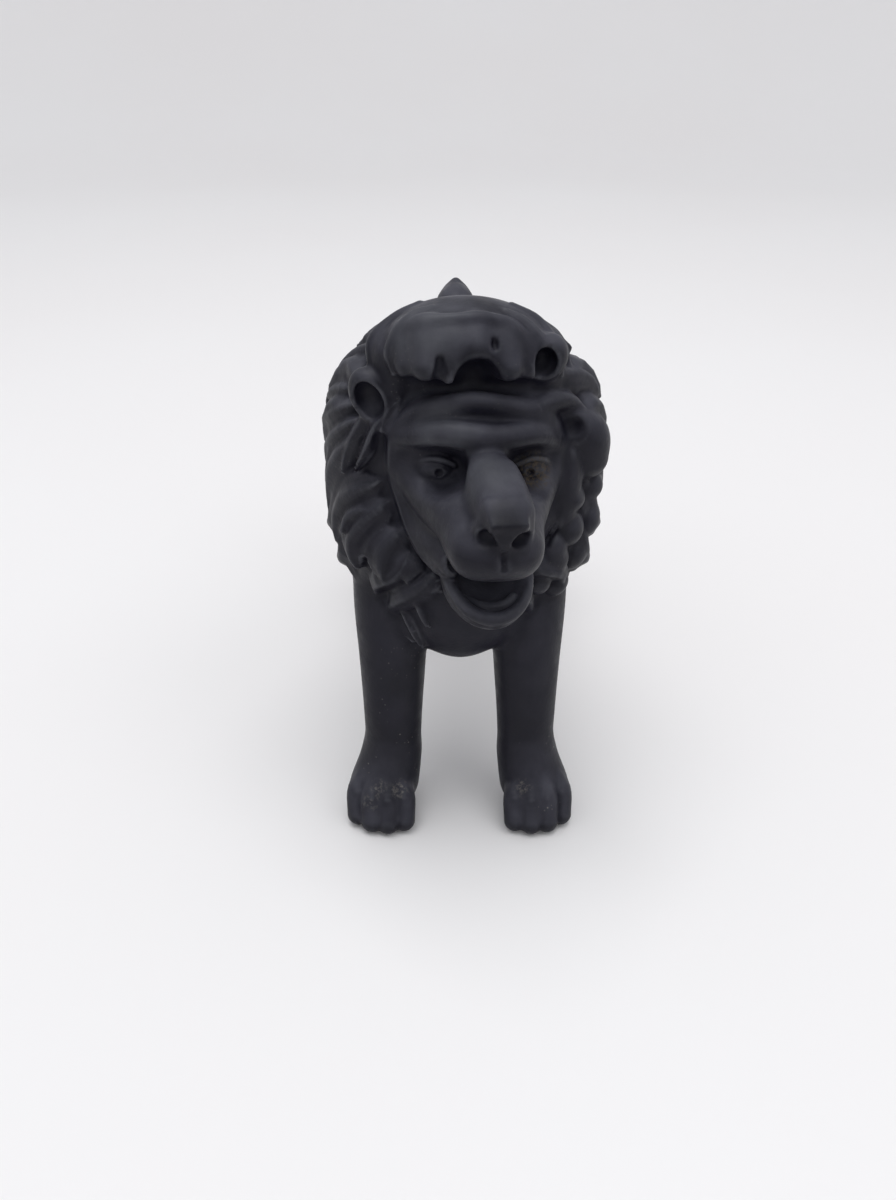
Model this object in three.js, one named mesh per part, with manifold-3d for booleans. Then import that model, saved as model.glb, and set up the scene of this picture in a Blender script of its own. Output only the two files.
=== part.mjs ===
// Cast iron lion: a standing lion with a full mane, its head turned a little to its own left.
// Millimetres, +Z up. The lion faces -Y, so +X is its left side.
// The body is modelled as a sculptor would, by adding lumps, limbs and locks that melt into each other,
// and the surface of that clay is then meshed and cut flat under the paws.
import * as THREE from 'three';
import { mergeVertices } from 'three/addons/utils/BufferGeometryUtils.js';
import { edgeTable, triTable } from 'three/addons/objects/MarchingCubes.js';
import Module from 'manifold-3d';

// Driving dimensions, in the sculptor's frame: the origin is on the ground between the front toe tips.
const GRID_STEP = 1; // spacing of the points where the clay is tested
const TRIANGLES = 9500; // size of the mesh before the soles are cut
const FACE = new THREE.Box3(new THREE.Vector3(-26, -30, 68), new THREE.Vector3(30, 18, 150));
const FACE_CARE = 8; // how much more a change to the face counts when the mesh is made smaller
const FOOTPRINT_CENTRE = new THREE.Vector3(1.3, 73.98, 0); // becomes the origin of the finished piece

const HEAD_PIVOT = new THREE.Vector3(3.5, 22, 110);
const HEAD_YAW = THREE.MathUtils.degToRad(8);
const HEAD_ROLL = THREE.MathUtils.degToRad(3);
const MANE_CENTRE = new THREE.Vector3(1, 33, 97);
const SIDES = [-1, 1];

const v3 = (x, y, z) => new THREE.Vector3(x, y, z);
const turned = (pitch = 0, roll = 0, yaw = 0) =>
  new THREE.Quaternion().setFromEuler(new THREE.Euler(pitch, roll, yaw, 'ZYX'));
const { sin, cos, abs, min, max, sqrt, hypot, PI } = Math;
const mix = (a, b, t) => a + (b - a) * t;
const clamp01 = (t) => min(1, max(0, t));

// Melts two surfaces into one over a width k.
function melt(a, b, k) {
  const h = max(k - abs(a - b), 0);
  return min(a, b) - (h * h) / (4 * k);
}

// Clay: a list of lumps, each added to or carved from what is there already.
class Clay {
  constructor() {
    this.lumps = [];
  }

  put(shape, blend, sign) {
    const box = shape.box.clone().expandByScalar(blend + 4);
    this.lumps.push({ shape, blend, sign, box });
    return this;
  }

  add(shape, blend = 4) {
    return this.put(shape, blend, 1);
  }

  carve(shape, blend = 1) {
    return this.put(shape, blend, -1);
  }

  distance(x, y, z) {
    let d = 20;
    const q = v3(x, y, z);
    for (const { shape, blend, sign, box } of this.lumps) {
      if (!box.containsPoint(q)) continue;
      const s = shape.distance(x, y, z);
      d = sign > 0 ? melt(d, s, blend) : -melt(-d, s, blend);
    }
    return d;
  }

  gradient(p, step = 0.4) {
    const { x, y, z } = p;
    return v3(
      this.distance(x + step, y, z) - this.distance(x - step, y, z),
      this.distance(x, y + step, z) - this.distance(x, y - step, z),
      this.distance(x, y, z + step) - this.distance(x, y, z - step)
    ).multiplyScalar(0.5 / step);
  }

  // Moves a point onto the surface of the clay.
  settle(p, rounds = 6) {
    for (let i = 0; i < rounds; i++) {
      const g = this.gradient(p);
      p.addScaledVector(g, -this.distance(p.x, p.y, p.z) / max(g.lengthSq(), 0.2));
    }
    return p;
  }
}

// An egg-shaped lump.
function egg(centre, radii, turn = turned()) {
  const frame = new THREE.Matrix4().makeRotationFromQuaternion(turn).setPosition(centre);
  const inverse = frame.clone().invert();
  const reach = max(radii.x, radii.y, radii.z);
  const box = new THREE.Box3(
    centre.clone().subScalar(reach), centre.clone().addScalar(reach)
  );
  const q = v3();
  return {
    box,
    distance(x, y, z) {
      q.set(x, y, z).applyMatrix4(inverse).divide(radii);
      const k0 = q.length();
      const k1 = q.divide(radii).length();
      return k1 < 1e-6 ? -min(radii.x, radii.y, radii.z) : (k0 * (k0 - 1)) / k1;
    },
  };
}

// A block with its edges rounded off.
function block(centre, halves, round, turn = turned()) {
  const frame = new THREE.Matrix4().makeRotationFromQuaternion(turn).setPosition(centre);
  const inverse = frame.clone().invert();
  const reach = halves.length();
  const box = new THREE.Box3(centre.clone().subScalar(reach), centre.clone().addScalar(reach));
  const q = v3();
  return {
    box,
    distance(x, y, z) {
      q.set(x, y, z).applyMatrix4(inverse);
      q.set(abs(q.x) - halves.x + round, abs(q.y) - halves.y + round, abs(q.z) - halves.z + round);
      const inside = min(max(q.x, q.y, q.z), 0);
      return hypot(max(q.x, 0), max(q.y, 0), max(q.z, 0)) + inside - round;
    },
  };
}

// A limb: a round tube through joints of given radii.
function limb(joints, steps = 10) {
  const curve = new THREE.CatmullRomCurve3(joints.map(([x, y, z]) => v3(x, y, z)), false, 'centripetal');
  const radius = new THREE.CatmullRomCurve3(joints.map(([, , , r], i) => v3(i, r, 0)));
  const last = joints.length - 1;
  const n = steps * last;
  const pts = [];
  for (let i = 0; i <= n; i++) pts.push({ p: curve.getPoint(i / n), r: radius.getPoint(i / n).y });
  const box = new THREE.Box3();
  for (const { p, r } of pts) box.union(new THREE.Box3(p.clone().subScalar(r), p.clone().addScalar(r)));
  return {
    box,
    distance(x, y, z) {
      let best = 1e9;
      for (let i = 0; i < n; i++) {
        const a = pts[i], b = pts[i + 1];
        const abx = b.p.x - a.p.x, aby = b.p.y - a.p.y, abz = b.p.z - a.p.z;
        const apx = x - a.p.x, apy = y - a.p.y, apz = z - a.p.z;
        const t = clamp01((apx * abx + apy * aby + apz * abz) / (abx * abx + aby * aby + abz * abz));
        const d = hypot(apx - t * abx, apy - t * aby, apz - t * abz) - mix(a.r, b.r, t);
        if (d < best) best = d;
      }
      return best;
    },
  };
}

// A lock of hair: a flattened tube along a path that lies on the clay, widest in its middle.
function lock(path, normals, width, thickness, profile) {
  const n = path.length - 1;
  const box = new THREE.Box3().setFromPoints(path).expandByScalar(width + thickness);
  const frames = path.map((p, i) => {
    const tangent = path[min(i + 1, n)].clone().sub(path[max(i - 1, 0)]).normalize();
    const across = v3().crossVectors(tangent, normals[i]).normalize();
    const k = profile(i / n);
    const out = v3().crossVectors(across, tangent);
    return { p, across, out, w: width * k, h: thickness * mix(0.55, 1, k) };
  });
  const e = v3();
  const axis = v3();
  return {
    box,
    distance(x, y, z) {
      let best = 1e9, at = 0, share = 0;
      for (let i = 0; i < n; i++) {
        const a = path[i], b = path[i + 1];
        const abx = b.x - a.x, aby = b.y - a.y, abz = b.z - a.z;
        const apx = x - a.x, apy = y - a.y, apz = z - a.z;
        const t = clamp01((apx * abx + apy * aby + apz * abz) / (abx * abx + aby * aby + abz * abz));
        const d = (apx - t * abx) ** 2 + (apy - t * aby) ** 2 + (apz - t * abz) ** 2;
        if (d < best) { best = d; at = i; share = t; }
      }
      const a = frames[at], b = frames[at + 1];
      e.lerpVectors(a.p, b.p, share).sub(axis.set(x, y, z)).negate();
      const side = e.dot(axis.lerpVectors(a.across, b.across, share));
      const rise = e.dot(axis.lerpVectors(a.out, b.out, share));
      const w = mix(a.w, b.w, share);
      const h = mix(a.h, b.h, share);
      const along2 = max(0, best - side * side - rise * rise);
      const k0 = sqrt((side / w) ** 2 + (rise / h) ** 2 + along2 / (w * w));
      const k1 = sqrt((side / (w * w)) ** 2 + (rise / (h * h)) ** 2 + along2 / w ** 4);
      return k1 < 1e-6 ? -h : (k0 * (k0 - 1)) / k1;
    },
  };
}

// Places a point given in the head's frame: across to the lion's left, forward along the muzzle, and up.
const headTurn = turned(0, HEAD_ROLL, HEAD_YAW);
const headPoint = (across, forward, up) => v3(across, -forward, up).applyQuaternion(headTurn).add(HEAD_PIVOT);
const headEgg = (across, forward, up, w, l, h, pitch = 0, roll = 0, yaw = 0) =>
  egg(headPoint(across, forward, up), v3(w, l, h), headTurn.clone().multiply(turned(pitch, roll, yaw)));
const headBlock = (across, forward, up, w, l, h, round, pitch = 0, yaw = 0) =>
  block(headPoint(across, forward, up), v3(w, l, h), round, headTurn.clone().multiply(turned(pitch, 0, yaw)));
const headLimb = (joints) => limb(joints.map(([a, f, u, r]) => [...headPoint(a, f, u).toArray(), r]), 6);

function torso(clay) {
  clay.add(egg(v3(0, 60, 83), v3(20.5, 42, 25)), 8); // ribs
  clay.add(egg(v3(0, 104, 84), v3(17, 34, 19.5)), 10); // loin and belly
  clay.add(egg(v3(0, 131, 86), v3(18.5, 22, 19.5)), 10); // rump
  clay.add(egg(v3(0, 27, 76), v3(19, 18, 24)), 8); // breast
  clay.add(egg(v3(0, 62, 98), v3(14, 34, 13)), 10); // withers
}

function foreleg(clay, side) {
  clay.add(egg(v3(side * 17.5, 38, 80), v3(11, 17, 26), turned(0.22)), 6); // shoulder
  clay.add(egg(v3(side * 18, 41, 66), v3(7, 8, 9)), 7); // elbow
  clay.add(limb([
    [side * 18, 31, 76, 11],
    [side * 18.6, 27, 62, 10.3],
    [side * 18.5, 23, 46, 9.2],
    [side * 18.6, 20, 31, 8.2],
    [side * 18.8, 18.5, 18, 7.7],
    [side * 19.6, 17, 9, 7.6],
  ]), 5);
  paw(clay, side, 0);
}

// A paw whose toes end at the given distance behind the front toe tips.
function paw(clay, side, back, size = 1) {
  clay.add(egg(v3(side * 20.4, back + 14.5, 5), v3(8.6 * size, 12, 7.5)), 4);
  clay.add(egg(v3(side * 20.2, back + 11, 10), v3(7.6 * size, 6.5, 5.4), turned(0.5)), 4);
  const toes = [
    [15.6, 1.4, 3.1],
    [20.2, 0, 3.2],
    [24.8, 0.8, 3.2],
    [28.9, 4.6, 2.9],
  ];
  for (const [x, tip, r] of toes) {
    clay.add(limb([
      [side * mix(x, 20, 0.5), back + 14.5, 13, r * 0.8],
      [side * x, back + tip + 7, 9.4, r],
      [side * x, back + tip + r, 3.2, r],
    ], 5), 0.9);
  }
}

function hindleg(clay, side) {
  clay.add(egg(v3(side * 13.2, 131, 77), v3(11, 18.5, 28), turned(-0.22)), 8); // thigh
  clay.add(limb([
    [side * 15.6, 119, 66, 11],
    [side * 16.8, 124, 54, 9.6],
    [side * 17.4, 135, 43, 7.6],
    [side * 17.6, 144.5, 33, 6.6],
    [side * 17.6, 145, 21, 6],
    [side * 18.2, 143, 9, 6.8],
  ]), 5);
  clay.add(limb([
    [side * 16, 141, 62, 5],
    [side * 17, 144.5, 50, 4.4],
    [side * 17.6, 149.5, 38, 3.8],
  ]), 5); // heel tendon
  paw(clay, side, 120, 0.95);
}

function tail(clay) {
  clay.add(limb([
    [0, 134, 91, 10],
    [-0.4, 142, 102.5, 8.6],
    [-0.6, 148.5, 110.4, 6.6],
    [-0.4, 156.5, 112.6, 4.6],
    [0.8, 164.5, 105, 3.8],
    [3, 167.5, 89, 3.5],
    [7, 164, 69, 3.3],
    [10.4, 160, 55, 3.6],
  ]), 4);
  clay.add(limb([
    [10.4, 160, 57, 3.4],
    [11.6, 159.5, 48, 5.6],
    [12, 161, 39, 5.2],
    [11.4, 165, 30, 1.8],
  ]), 2);
}

function maneBase(clay) {
  clay.add(block(MANE_CENTRE, v3(31.6, 21, 34), 20), 5); // the barrel of the mane
  clay.add(egg(v3(0, 28, 116), v3(24, 23, 25.5)), 6); // the crown
  clay.add(egg(v3(0, 42, 110), v3(22, 37, 29)), 6); // the crest of the neck
  clay.add(egg(v3(0, 58, 94), v3(23.5, 31, 26)), 9); // back to the withers
  clay.add(egg(v3(0, 19, 68), v3(15, 11, 19)), 6); // the bib
}

// The big smooth masses of hair beside the face.
function jowlHair(clay) {
  clay.add(egg(v3(31.3, 23, 110), v3(6.4, 8.5, 10.6), turned(0, 0.12, -0.3)), 2.4);
  clay.add(egg(v3(28.6, 19, 117), v3(4.6, 5.4, 5.4)), 2);
  clay.carve(egg(v3(28.6, 13.4, 116.6), v3(2.3, 2.4, 2.3)), 1); // curl
  clay.add(egg(v3(30, 22, 95.5), v3(4.6, 6, 5.2)), 1.4);
  clay.add(egg(v3(-24.5, 17, 88), v3(8.6, 8, 14), turned(0, -0.3, 0.5)), 3);
}

function head(clay) {
  clay.add(headEgg(-0.5, 2, 1, 20, 17, 18), 3); // skull
  clay.add(headBlock(-0.8, 6.2, 10, 17, 9.4, 7, 6), 3); // forehead
  clay.add(headLimb([
    [-18.6, 10.5, 4, 2.4],
    [-15.6, 13.6, 6.6, 3.2],
    [-9.8, 16.4, 9.2, 3.7],
    [-2, 17.2, 9.8, 3.5],
    [6, 16.2, 8.8, 3.5],
    [12.2, 13.4, 7, 3],
    [16.2, 10.5, 4.4, 2.2],
  ]), 1.8); // brow
  clay.add(headLimb([
    [-10.4, 17.6, -26.6, 1.2],
    [-14.6, 12, -22.6, 1.5],
    [-18, 8.4, -15.6, 1.6],
    [-20.2, 6.4, -7, 1.7],
    [-20.8, 7, 1, 1.6],
    [-18.6, 10, 8, 1.6],
    [-12.6, 13.4, 13.6, 1.6],
    [-4, 15.2, 15.8, 1.6],
    [4.4, 14.4, 14.6, 1.6],
    [11.6, 11.8, 11.4, 1.6],
    [17, 8.6, 6.4, 1.6],
    [19.4, 6, -1, 1.7],
    [19.8, 5.4, -9, 1.7],
    [18.2, 6.4, -16.6, 1.6],
    [15.6, 9.6, -22.6, 1.4],
  ]), 1.6); // rim of the face
  for (const side of SIDES) {
    clay.add(headLimb([
      [side * 11, 4, -7, 9.5],
      [side * 8.4, 17, -9, 8],
      [side * 4.8, 30, -11, 6.6],
    ]), 3); // cheek
    clay.add(headLimb([
      [side * 9.5, 3, -15, 9.5],
      [side * 8.4, 13, -20, 7.6],
      [side * 6.6, 22, -22.5, 5],
    ]), 3); // corner of the jaw
  }
  clay.add(headBlock(-0.4, 29.6, -5, 7, 13.4, 7.2, 4.8, 0.3, 0.155), 3); // bridge
  clay.add(headEgg(0.3, 29.5, -12.6, 12, 14.6, 8.2), 2); // upper lips
  clay.add(headBlock(0.3, 31, -13, 10.8, 11.4, 6.6, 6.2), 2);
  clay.add(headEgg(0, 21.5, -27.2, 10.6, 16.4, 7, 0.38), 2.5); // lower jaw
  clay.carve(headEgg(0, 28.5, -24.2, 7.6, 13.4, 4.6, 0.34), 1); // mouth
  clay.carve(headBlock(0, 34, -22, 12, 10.5, 2.6, 2.4, 0.2), 1.2); // gap of the lips
  clay.add(headBlock(0.9, 41, -4.6, 4.9, 3.6, 3.4, 2, 0.25, 0.1), 1.6); // nose
  for (const side of SIDES) {
    clay.carve(headEgg(side * 11.3, 20.8, -0.6, 6.8, 6, 4.6), 2.5); // eye socket
    clay.add(headEgg(side * 11, 15, -1.2, 4.3, 2.9, 2.9), 0.5); // eye
    clay.add(headLimb([
      [side * 6.4, 16.2, -1.8, 0.9],
      [side * 10.6, 18, 2, 1],
      [side * 15.4, 15.2, 0, 0.9],
    ]), 0.6); // upper lid
    clay.carve(headEgg(side * 10.8, 18.2, -1.1, 1.2, 1.2, 1.2), 0.3); // pupil
    clay.carve(headEgg(0.9 + side * 3.8, 43.6, -7.6, 2, 2.4, 1.7, 0, side * 0.5), 0.8); // nostril
  }
  clay.carve(headLimb([
    [0.9, 44.6, -9.4, 0.5],
    [0.6, 43.8, -13, 0.5],
    [0.3, 43, -17, 0.5],
  ]), 0.8); // cleft of the lip
}

// The forelock: a smooth dome over the forehead, its front edge notched into a fringe.
function forelock(clay) {
  clay.add(headEgg(-3.5, 3, 25, 21, 17, 9.6, 0.2), 4);
  clay.add(headBlock(-4.2, 9.2, 26.4, 15, 9.6, 7.6, 5.4, 0.34), 3);
  for (const side of SIDES) clay.add(headEgg(-3.5 + side * 18, 1, 18.5, 5.2, 9, 10, 0, side * 0.25), 4);
  clay.carve(headEgg(-3.5, 20, 17.2, 15, 7, 3.4, 0.1), 1.5); // hollow under the fringe
  clay.add(headEgg(-16.2, 14.6, 25, 5, 4.4, 4.6, 0.4), 2);
  clay.add(headEgg(-9.6, 17.4, 23.4, 1.8, 2.6, 4.6, 0.3), 1.2);
  clay.add(headEgg(6, 15.8, 23.6, 6, 4.2, 5, 0.4), 2);
  clay.carve(headEgg(-12.4, 21, 23.4, 1.1, 3.4, 4), 1);
  clay.carve(headEgg(-3.4, 21.4, 20.6, 4.6, 5.4, 5.4), 1.2);
}

function ear(clay, centre, radii, roll, yaw) {
  const turn = turned(0.1, roll, yaw);
  clay.add(egg(centre, radii, turn), 1.6);
  const bowl = v3(0, -radii.y, 0.4).applyQuaternion(turn).add(centre);
  clay.carve(egg(bowl, v3(radii.x - 1.5, radii.y - 0.4, radii.z - 1.7), turn), 0.6);
}

// The mane's locks, in rows from the face back to the shoulders. Each lock is laid on the mane from the
// angle where it grows, in degrees from the top, and sweeps outwards, back and down.
// Columns: sides, locks, first and last angle, radius of the root (first lock), its loss up to the last
// lock, radius of the tip, y of the root and tip, sweep, width, thickness, lift of the tip.
const RIGHT = [-1];
const LEFT = [1];
const MANE_ROWS = [
  [RIGHT, 1, 27, 27, 31, 0, 27, 7, 11, 36, 2.4, 3, 1.5],
  [RIGHT, 1, 30, 30, 35, 0, 32, 9, 12, 40, 2.6, 3.4, 2],
  [RIGHT, 1, 44, 44, 37, 0, 35, 14, 17, 38, 3.6, 4, 2],
  [RIGHT, 5, 62, 132, 22, 6.5, 35, 8, 22, 24, 5.6, 4.8, 3],
  [RIGHT, 3, 140, 164, 16, 0, 32, 6, 12, 16, 2.6, 3, 1.5],
  [LEFT, 6, 80, 150, 24, 8, 33, 10, 22, 18, 4, 4.2, 3],
  [SIDES, 7, 18, 122, 33, 0, 38, 18, 38, 30, 5.2, 5, 3],
  [SIDES, 7, 10, 114, 36, 0, 36, 32, 56, 26, 5.4, 4.6, 2],
  [SIDES, 6, 10, 102, 34, 0, 32, 49, 73, 22, 5.6, 4, 1.6],
  [SIDES, 5, 12, 86, 32, 0, 26, 65, 89, 20, 5.4, 3.4, 1.2],
];

function maneLocks(clay, base) {
  const profile = (t) => max(0.2, sin(PI * t ** 0.8) ** 0.55);
  for (const [sides, count, from, to, root, loss, tip, y0, y1, sweep, width, thickness, lift] of MANE_ROWS) {
    for (const side of sides) {
      for (let i = 0; i < count; i++) {
        const along = i / max(count - 1, 1);
        const start = mix(from, to, along);
        const path = [];
        const normals = [];
        for (let k = 0; k <= 8; k++) {
          const t = k / 8;
          const angle = side * THREE.MathUtils.degToRad(start + sweep * t + 4 * sin(2 * PI * t + i));
          const r = mix(root - loss * along, tip, t);
          const p = v3(r * sin(angle), 0, r * cos(angle) * 1.15).add(MANE_CENTRE).setY(mix(y0, y1, t));
          base.settle(p);
          const normal = base.gradient(p).normalize();
          normals.push(normal);
          path.push(p.addScaledVector(normal, lift * (t - 0.6)));
        }
        clay.add(lock(path, normals, width, thickness, profile), 0.9);
      }
    }
  }
}

function sculpt() {
  const clay = new Clay();
  torso(clay);
  for (const side of SIDES) foreleg(clay, side);
  for (const side of SIDES) hindleg(clay, side);
  tail(clay);
  const base = new Clay();
  maneBase(base);
  maneBase(clay);
  maneLocks(clay, base);
  jowlHair(clay);
  forelock(clay);
  head(clay);
  ear(clay, v3(-22.5, 13, 124.5), v3(5, 3.4, 6.6), -0.35, -0.5);
  ear(clay, v3(21.6, 15, 132.4), v3(4.2, 3.2, 5.6), 0.2, 0.1);
  return clay;
}

// Meshes the surface where the clay's distance is zero, by marching cubes.
function marchSurface(clay, low, high, step) {
  const n = ['x', 'y', 'z'].map((a) => Math.ceil((high[a] - low[a]) / step) + 1);
  const value = new Float32Array(n[0] * n[1] * n[2]);
  const index = (i, j, k) => i + n[0] * (j + n[1] * k);
  for (let k = 0; k < n[2]; k++)
    for (let j = 0; j < n[1]; j++)
      for (let i = 0; i < n[0]; i++) {
        const d = clay.distance(low.x + i * step, low.y + j * step, low.z + k * step);
        value[index(i, j, k)] = abs(d) < 0.02 ? 0.02 : d;
      }
  const corners = [0, 1, 2, 3, 4, 5, 6, 7].map((c) => [c & 1, (c >> 1) & 1, c >> 2]);
  const edges = [
    [0, 1], [1, 3], [2, 3], [0, 2], [4, 5], [5, 7], [6, 7], [4, 6], [0, 4], [1, 5], [3, 7], [2, 6],
  ];
  const bits = [1, 2, 8, 4, 16, 32, 128, 64];
  const positions = [];
  const cross = new Map();
  const triangles = [];
  for (let k = 0; k < n[2] - 1; k++)
    for (let j = 0; j < n[1] - 1; j++)
      for (let i = 0; i < n[0] - 1; i++) {
        let cube = 0;
        const at = corners.map(([a, b, c]) => index(i + a, j + b, k + c));
        for (let c = 0; c < 8; c++) if (value[at[c]] < 0) cube |= bits[c];
        if (edgeTable[cube] === 0) continue;
        const vertexOn = (e) => {
          let [a, b] = [at[edges[e][0]], at[edges[e][1]]];
          if (a > b) [a, b] = [b, a];
          const key = a * 16777216 + b;
          let id = cross.get(key);
          if (id === undefined) {
            id = positions.length / 3;
            cross.set(key, id);
            const t = value[a] / (value[a] - value[b]);
            const pa = [a % n[0], Math.floor(a / n[0]) % n[1], Math.floor(a / (n[0] * n[1]))];
            const pb = [b % n[0], Math.floor(b / n[0]) % n[1], Math.floor(b / (n[0] * n[1]))];
            positions.push(...pa.map((q, m) => low.getComponent(m) + step * mix(q, pb[m], t)));
          }
          return id;
        };
        for (let m = cube * 16; triTable[m] !== -1; m += 3)
          triangles.push(vertexOn(triTable[m + 2]), vertexOn(triTable[m + 1]), vertexOn(triTable[m]));
      }
  const geometry = new THREE.BufferGeometry();
  geometry.setAttribute('position', new THREE.Float32BufferAttribute(positions, 3));
  geometry.setIndex(triangles);
  return geometry;
}

// Keeps the largest skin, so that pockets closed in between the locks are filled.
function outerSkin(geometry) {
  const index = geometry.index.array;
  const leader = [...Array(geometry.attributes.position.count).keys()];
  const find = (i) => {
    while (leader[i] !== i) {
      leader[i] = leader[leader[i]];
      i = leader[i];
    }
    return i;
  };
  for (let i = 0; i < index.length; i += 3) {
    leader[find(index[i + 1])] = find(index[i]);
    leader[find(index[i + 2])] = find(index[i]);
  }
  const sizes = new Map();
  for (const i of index) sizes.set(find(i), (sizes.get(find(i)) ?? 0) + 1);
  const [outer] = [...sizes].reduce((a, b) => (b[1] > a[1] ? b : a));
  const skin = new THREE.BufferGeometry();
  skin.setAttribute('position', geometry.attributes.position);
  skin.setIndex([...index].filter((i) => find(i) === outer));
  return skin;
}

// Removes edges one at a time, always the one whose loss shows least, until the mesh is small enough.
// Each corner carries the squared distances to the planes that met there, as a quadric of ten numbers.
function simplify(geometry, target) {
  const at = [...Array(geometry.attributes.position.count).keys()].map((i) =>
    v3().fromBufferAttribute(geometry.attributes.position, i)
  );
  const index = geometry.index.array;
  const faces = [];
  for (let i = 0; i < index.length; i += 3) faces.push([index[i], index[i + 1], index[i + 2]]);
  const around = at.map(() => new Set());
  const quadric = at.map(() => new Float64Array(10));
  const edgeA = v3();
  const edgeB = v3();
  const normalOf = (a, b, c) => v3().crossVectors(edgeA.subVectors(b, a), edgeB.subVectors(c, a));
  faces.forEach((face, f) => {
    const n = normalOf(...face.map((i) => at[i]));
    const weight = (n.length() / 2) * (FACE.containsPoint(at[face[0]]) ? FACE_CARE : 1);
    n.normalize();
    const d = -n.dot(at[face[0]]);
    const plane = [
      n.x * n.x, n.x * n.y, n.x * n.z, n.x * d, n.y * n.y, n.y * n.z, n.y * d, n.z * n.z, n.z * d, d * d,
    ];
    for (const i of face) {
      around[i].add(f);
      plane.forEach((value, k) => (quadric[i][k] += value * weight));
    }
  });
  const error = (q, p) =>
    q[0] * p.x * p.x + 2 * q[1] * p.x * p.y + 2 * q[2] * p.x * p.z + 2 * q[3] * p.x +
    q[4] * p.y * p.y + 2 * q[5] * p.y * p.z + 2 * q[6] * p.y +
    q[7] * p.z * p.z + 2 * q[8] * p.z + q[9];
  const stamp = new Int32Array(at.length);
  const heap = [];
  const swap = (i, j) => ([heap[i], heap[j]] = [heap[j], heap[i]]);
  const push = (item) => {
    let i = heap.push(item) - 1;
    while (i > 0 && heap[i].cost < heap[(i - 1) >> 1].cost) {
      swap(i, (i - 1) >> 1);
      i = (i - 1) >> 1;
    }
  };
  const pop = () => {
    const top = heap[0];
    const last = heap.pop();
    if (heap.length > 0) {
      heap[0] = last;
      let i = 0;
      for (;;) {
        let child = 2 * i + 1;
        if (child >= heap.length) break;
        if (child + 1 < heap.length && heap[child + 1].cost < heap[child].cost) child++;
        if (heap[i].cost <= heap[child].cost) break;
        swap(i, child);
        i = child;
      }
    }
    return top;
  };
  const offer = (a, b) => {
    const q = quadric[a].map((value, k) => value + quadric[b][k]);
    const m = new THREE.Matrix3().set(q[0], q[1], q[2], q[1], q[4], q[5], q[2], q[5], q[7]);
    const middle = at[a].clone().add(at[b]).multiplyScalar(0.5);
    let place = middle;
    if (abs(m.determinant()) > 1e-4) {
      const best = v3(-q[3], -q[6], -q[8]).applyMatrix3(m.invert());
      if (best.distanceTo(middle) < at[a].distanceTo(at[b])) place = best;
    }
    const cost = error(q, place) + 1e-4 * at[a].distanceToSquared(at[b]);
    push({ cost, a, b, place, when: stamp[a] + stamp[b] });
  };
  const neighbours = (i) => {
    const found = new Set();
    for (const f of around[i]) for (const j of faces[f]) if (j !== i) found.add(j);
    return found;
  };
  const turnsOver = (i, other, place) => {
    for (const f of around[i]) {
      if (faces[f].includes(other)) continue;
      const before = normalOf(...faces[f].map((j) => at[j]));
      const after = normalOf(...faces[f].map((j) => (j === i ? place : at[j])));
      if (before.dot(after) < 0.25 * before.length() * after.length()) return true;
    }
    return false;
  };
  at.forEach((_, a) => neighbours(a).forEach((b) => a < b && offer(a, b)));
  let left = faces.length;
  while (left > target && heap.length > 0) {
    const { a, b, place, when } = pop();
    if (around[a].size === 0 || around[b].size === 0 || when !== stamp[a] + stamp[b]) continue;
    const nearB = neighbours(b);
    if (!nearB.has(a) || [...neighbours(a)].filter((i) => nearB.has(i)).length !== 2) continue;
    if (turnsOver(a, b, place) || turnsOver(b, a, place)) continue;
    at[a].copy(place);
    quadric[b].forEach((value, k) => (quadric[a][k] += value));
    for (const f of [...around[b]]) {
      if (faces[f].includes(a)) {
        for (const i of faces[f]) around[i].delete(f);
        faces[f] = null;
        left--;
      } else {
        faces[f] = faces[f].map((i) => (i === b ? a : i));
        around[a].add(f);
      }
    }
    around[b].clear();
    stamp[a]++;
    for (const i of neighbours(a)) offer(a, i);
  }
  const renumbered = new Map();
  const positions = [];
  const triangles = faces.filter(Boolean).flat().map((i) => {
    if (!renumbered.has(i)) {
      renumbered.set(i, positions.length / 3);
      positions.push(...at[i].toArray());
    }
    return renumbered.get(i);
  });
  const simple = new THREE.BufferGeometry();
  simple.setAttribute('position', new THREE.Float32BufferAttribute(positions, 3));
  simple.setIndex(triangles);
  return simple;
}

// Takes away everything below the ground, which leaves flat soles under the paws.
async function cutAtGround(geometry) {
  const cutter = await Module();
  cutter.setup();
  const solidOf = (source) =>
    new cutter.Manifold(
      new cutter.Mesh({
        numProp: 3,
        vertProperties: new Float32Array(source.attributes.position.array),
        triVerts: new Uint32Array(source.index.array),
      })
    );
  const ground = new THREE.BoxGeometry(400, 600, 40).translate(0, 0, -20);
  ground.deleteAttribute('normal');
  ground.deleteAttribute('uv');
  const mesh = solidOf(geometry).subtract(solidOf(mergeVertices(ground))).getMesh();
  const cut = new THREE.BufferGeometry();
  cut.setAttribute('position', new THREE.Float32BufferAttribute(mesh.vertProperties, 3));
  cut.setIndex([...mesh.triVerts]);
  return cut;
}

const CLAY_LOW = v3(-44, -30, -4);
const CLAY_HIGH = v3(44, 180, 152);
const surface = outerSkin(marchSurface(sculpt(), CLAY_LOW, CLAY_HIGH, GRID_STEP));
const cast = await cutAtGround(TRIANGLES > 0 ? simplify(surface, TRIANGLES) : surface);
cast.translate(-FOOTPRINT_CENTRE.x, -FOOTPRINT_CENTRE.y, 0);
cast.computeVertexNormals();

const lion = new THREE.Mesh(
  cast,
  new THREE.MeshStandardMaterial({ color: 0x1d1e21, roughness: 0.55, metalness: 0.3 })
);
lion.name = 'lion';

const statue = new THREE.Group();
statue.add(lion);
export default statue;
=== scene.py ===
# Cast iron lion, painted black: the finished casting on a pale floor.
import math

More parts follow.
